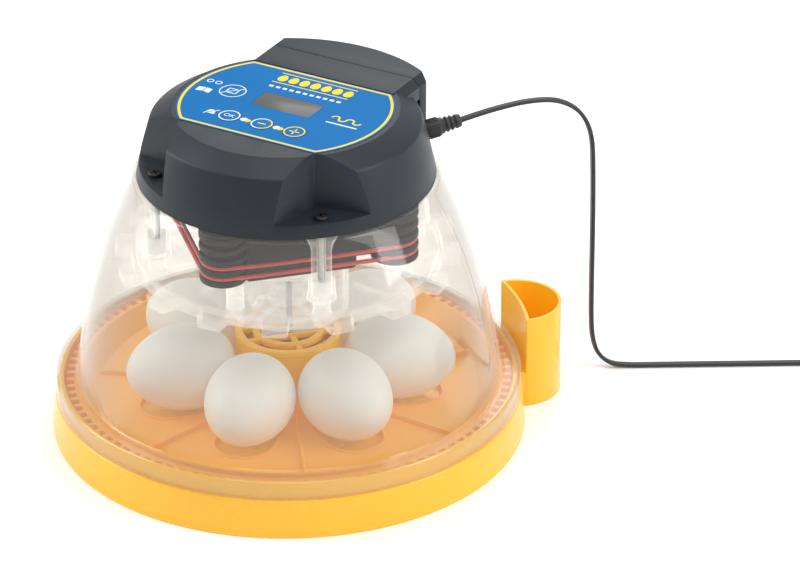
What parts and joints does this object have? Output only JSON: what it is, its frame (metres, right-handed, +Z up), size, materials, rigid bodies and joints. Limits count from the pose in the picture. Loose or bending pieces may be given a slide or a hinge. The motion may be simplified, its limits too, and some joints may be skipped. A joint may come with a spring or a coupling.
{
  "type": "egg incubator",
  "caption": "Table-top egg incubator: a yellow base with a turning egg disc under a clear dome that carries the heater, fan and control head.",
  "frame": {"origin": "on the table, under the axis that the disc turns about", "axes": "+Z up; the display and keys face -Y; the rear cover faces +Y"},
  "size_m": [0.4939, 0.3345, 0.184],
  "materials": {
    "yellow_plastic": "smooth moulded, glossy",
    "orange_plastic": "smooth moulded, satin",
    "clear_plastic": "clear moulded, glossy",
    "frosted_plastic": "clear moulded with frosted edges",
    "slate_plastic": "fine sparked texture, satin",
    "black_plastic": "fine matt moulded",
    "white_plastic": "smooth moulded",
    "silicone_red": "smooth silicone",
    "blue_panel": "printed membrane, satin",
    "key_print": "printed membrane, satin",
    "display_grey": "clear window over a grey-green display",
    "board_green": "solder resist",
    "screw_steel": "zinc plated",
    "eggshell": "matt shell with fine pores",
    "pad_cloth": "absorbent non-woven cloth",
    "cord_black": "satin flexible PVC"
  },
  "bodies": {
    "base": {"base_tray": "yellow_plastic", "bottom_cover": "yellow_plastic", "bottom_screws": "screw_steel", "water_pot": "yellow_plastic", "pot_screw": "screw_steel", "wick_pad": "pad_cloth", "feed_tube": "yellow_plastic", "water_cup": "yellow_plastic", "turn_motor": "black_plastic", "cord_lead": "cord_black", "cord_coil": "cord_black", "cord_tie": "black_plastic", "mains_adaptor": "black_plastic", "adaptor_pins": "screw_steel"},
    "grille": {"pot_grille": "yellow_plastic"},
    "drive": {"drive_pinion": "white_plastic", "pinion_shaft": "screw_steel"},
    "disc": {"egg_disc": "orange_plastic"},
    "egg_body_1": {"egg_1": "eggshell"},
    "egg_body_2": {"egg_2": "eggshell"},
    "egg_body_3": {"egg_3": "eggshell"},
    "egg_body_4": {"egg_4": "eggshell"},
    "egg_body_5": {"egg_5": "eggshell"},
    "egg_body_6": {"egg_6": "eggshell"},
    "egg_body_7": {"egg_7": "eggshell"},
    "lid": {"dome": "clear_plastic", "lid_screws": "screw_steel", "air_plate": "frosted_plastic", "air_duct": "frosted_plastic", "duct_guard": "frosted_plastic", "temp_probe": "black_plastic", "heater_former": "black_plastic", "heater_wire": "silicone_red", "fan_frame": "black_plastic", "head_floor": "slate_plastic", "head_shell": "slate_plastic", "panel_label": "blue_panel", "display_window": "display_grey", "lcd_module": "board_green", "control_board": "board_green", "board_screws": "screw_steel", "key_switches": "black_plastic", "alarm_buzzer": "black_plastic", "dc_jack": "black_plastic", "dc_plug": "cord_black"},
    "fan": {"fan_impeller": "black_plastic"},
    "ok_key": {"key_ok": "key_print"},
    "minus_key": {"key_minus": "key_print"},
    "plus_key": {"key_plus": "key_print"},
    "rear": {"rear_cover": "slate_plastic"}
  },
  "joints": [
    {"name": "lid_lift", "type": "slide", "parent": "base", "child": "lid", "axis": [0, 0, 1], "range_m": [0, 0.05]},
    {"name": "grille_lift", "type": "slide", "parent": "base", "child": "grille", "axis": [0, 0, 1], "range_m": [0, 0.012]},
    {"name": "disc_turn", "type": "hinge", "parent": "base", "child": "disc", "pos_m": [0, 0, 0.018], "axis": [0, 0, 1], "continuous": true},
    {"name": "drive_spin", "type": "hinge", "parent": "base", "child": "drive", "pos_m": [-0.07778, 0.07778, 0.01621], "axis": [-0.7071, 0.7071, 0], "continuous": true},
    {"name": "fan_spin", "type": "hinge", "parent": "lid", "child": "fan", "pos_m": [0, 0, 0.105], "axis": [0, 0, 1], "continuous": true},
    {"name": "ok_press", "type": "slide", "parent": "lid", "child": "ok_key", "axis": [0, 0, -1], "range_m": [0, 0.0004], "stiffness_N_per_m": 800, "springref_m": -0.0005},
    {"name": "minus_press", "type": "slide", "parent": "lid", "child": "minus_key", "axis": [0, 0, -1], "range_m": [0, 0.0004], "stiffness_N_per_m": 800, "springref_m": -0.0005},
    {"name": "plus_press", "type": "slide", "parent": "lid", "child": "plus_key", "axis": [0, 0, -1], "range_m": [0, 0.0004], "stiffness_N_per_m": 800, "springref_m": -0.0005},
    {"name": "cover_pull", "type": "slide", "parent": "lid", "child": "rear", "axis": [0, 1, 0], "range_m": [0, 0.012]},
    {"name": "egg_1_roll", "type": "hinge", "parent": "disc", "child": "egg_body_1", "pos_m": [0.01004, -0.05814, 0.041], "axis": [0.1702, -0.9854, 0], "continuous": true},
    {"name": "egg_2_roll", "type": "hinge", "parent": "disc", "child": "egg_body_2", "pos_m": [0.05172, -0.0284, 0.041], "axis": [0.8765, -0.4813, 0], "continuous": true},
    {"name": "egg_3_roll", "type": "hinge", "parent": "disc", "child": "egg_body_3", "pos_m": [0.05445, 0.02273, 0.041], "axis": [0.9228, 0.3852, 0], "continuous": true},
    {"name": "egg_4_roll", "type": "hinge", "parent": "disc", "child": "egg_body_4", "pos_m": [0.01618, 0.05674, 0.041], "axis": [0.2742, 0.9617, 0], "continuous": true},
    {"name": "egg_5_roll", "type": "hinge", "parent": "disc", "child": "egg_body_5", "pos_m": [-0.03427, 0.04802, 0.041], "axis": [-0.5809, 0.814, 0], "continuous": true},
    {"name": "egg_6_roll", "type": "hinge", "parent": "disc", "child": "egg_body_6", "pos_m": [-0.05892, 0.00315, 0.041], "axis": [-0.9986, 0.0533, 0], "continuous": true},
    {"name": "egg_7_roll", "type": "hinge", "parent": "disc", "child": "egg_body_7", "pos_m": [-0.03919, -0.0441, 0.041], "axis": [-0.6643, -0.7475, 0], "continuous": true}
  ],
  "couplings": [
    {"joint": "drive_spin", "follows": "disc_turn", "ratio": -12.5},
    {"joint": "egg_1_roll", "follows": "disc_turn", "ratio": -2.5652},
    {"joint": "egg_2_roll", "follows": "disc_turn", "ratio": -2.5652},
    {"joint": "egg_3_roll", "follows": "disc_turn", "ratio": -2.5652},
    {"joint": "egg_4_roll", "follows": "disc_turn", "ratio": -2.5652},
    {"joint": "egg_5_roll", "follows": "disc_turn", "ratio": -2.5652},
    {"joint": "egg_6_roll", "follows": "disc_turn", "ratio": -2.5652},
    {"joint": "egg_7_roll", "follows": "disc_turn", "ratio": -2.5652}
  ]
}
